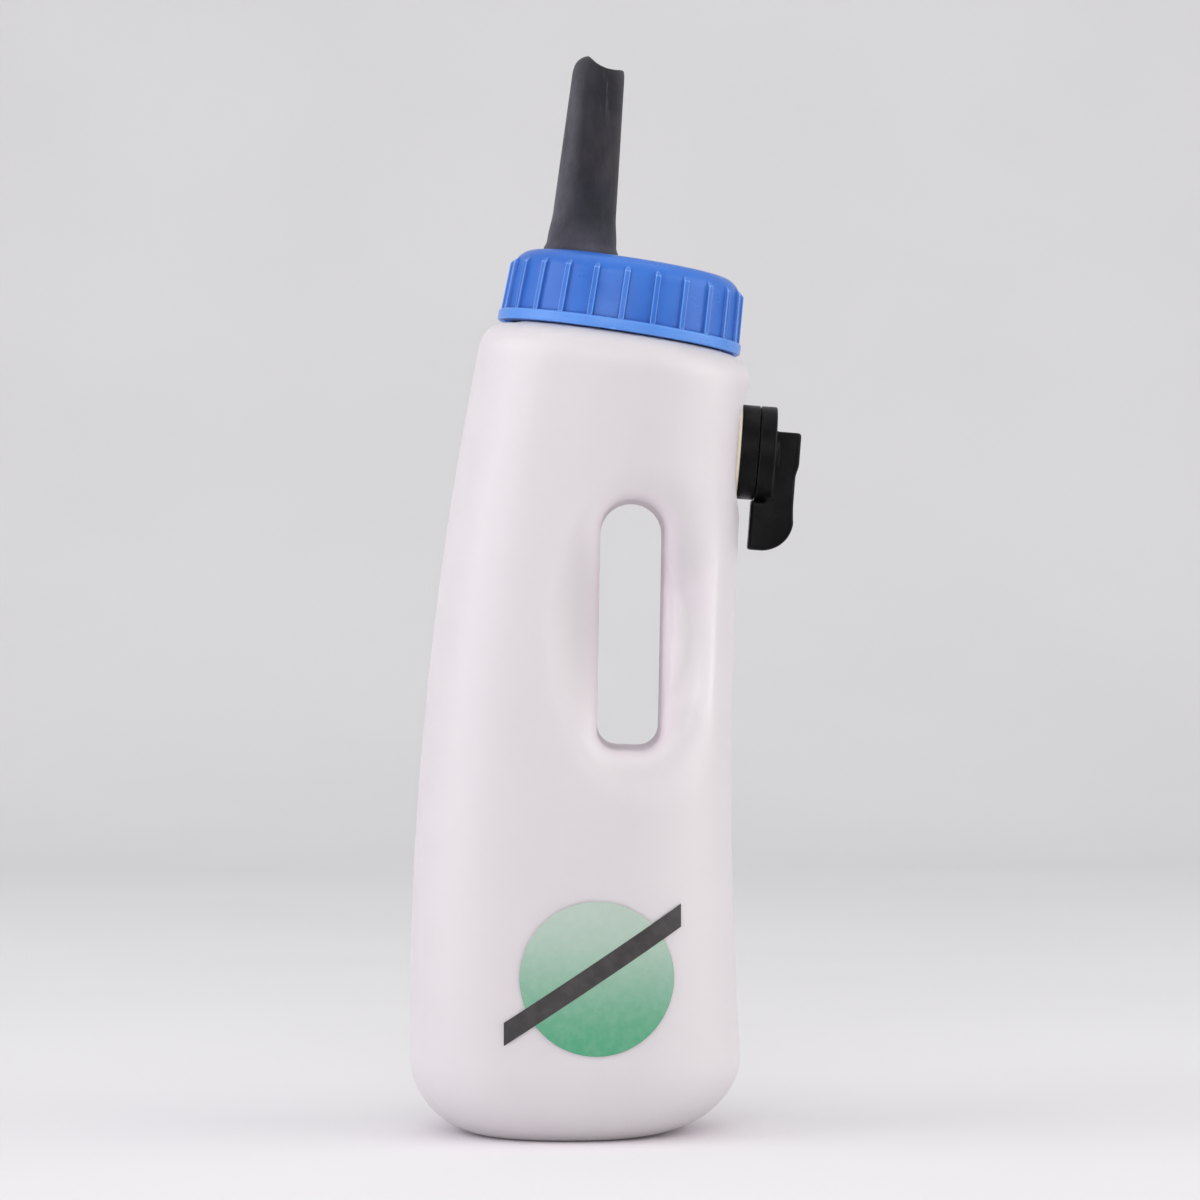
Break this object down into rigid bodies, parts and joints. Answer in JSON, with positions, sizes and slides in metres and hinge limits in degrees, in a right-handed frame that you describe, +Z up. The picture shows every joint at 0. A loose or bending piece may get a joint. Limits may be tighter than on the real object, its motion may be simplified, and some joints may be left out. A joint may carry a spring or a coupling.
{
  "type": "calf feeding bottle",
  "caption": "Bent translucent feeding bottle with a hand slot, a blue ribbed screw cap, an off-centre rubber teat and a rotary air valve with a lever.",
  "frame": {"origin": "middle of the foot ring, on the surface the bottle stands on", "axes": "+Z up along the bottle, +X towards the handle and air valve, -Y the flat side that carries the printed panel"},
  "size_m": [0.1525, 0.108, 0.4187],
  "materials": {
    "bottle_plastic": "translucent natural polyethylene, satin",
    "cap_plastic": "moulded, semi-gloss",
    "teat_rubber": "matte, slightly dusty",
    "seal_rubber": "smooth",
    "gasket_cream": "smooth",
    "valve_plastic": "moulded, satin gloss",
    "dial_plastic": "moulded, satin gloss",
    "black_rubber": "smooth",
    "steel": "bright"
  },
  "bodies": {
    "bottle": {"bottle": "bottle_plastic", "valve_gasket": "gasket_cream", "valve_body": "valve_plastic", "valve_washer": "black_rubber", "valve_nut": "valve_plastic", "port_seal": "black_rubber", "dial_oring": "black_rubber", "duckbill": "black_rubber", "duckbill_retainer": "valve_plastic", "click_ball": "steel", "click_spring": "steel"},
    "dial": {"speed_dial": "dial_plastic", "dial_screw": "steel", "dial_screw_washer": "steel"},
    "seal": {"cap_gasket": "seal_rubber"},
    "cap": {"screw_cap": "cap_plastic", "teat": "teat_rubber"}
  },
  "joints": [
    {"name": "cap_lift", "type": "slide", "parent": "bottle", "child": "seal", "axis": [0.1478, 0, 0.989], "range_m": [0, 0.0301]},
    {"name": "cap_turn", "type": "hinge", "parent": "seal", "child": "cap", "pos_m": [0.0207, 0, 0.3087], "axis": [0.1478, 0, 0.989], "range_deg": [0, 900]},
    {"name": "dial_turn", "type": "hinge", "parent": "bottle", "child": "dial", "pos_m": [0.06587, 0, 0.2645], "axis": [0.997, 0, -0.0769], "range_deg": [-50, 50]}
  ],
  "couplings": [
    {"joint": "cap_lift", "follows": "cap_turn", "m_per_rad": 0.0019099}
  ]
}
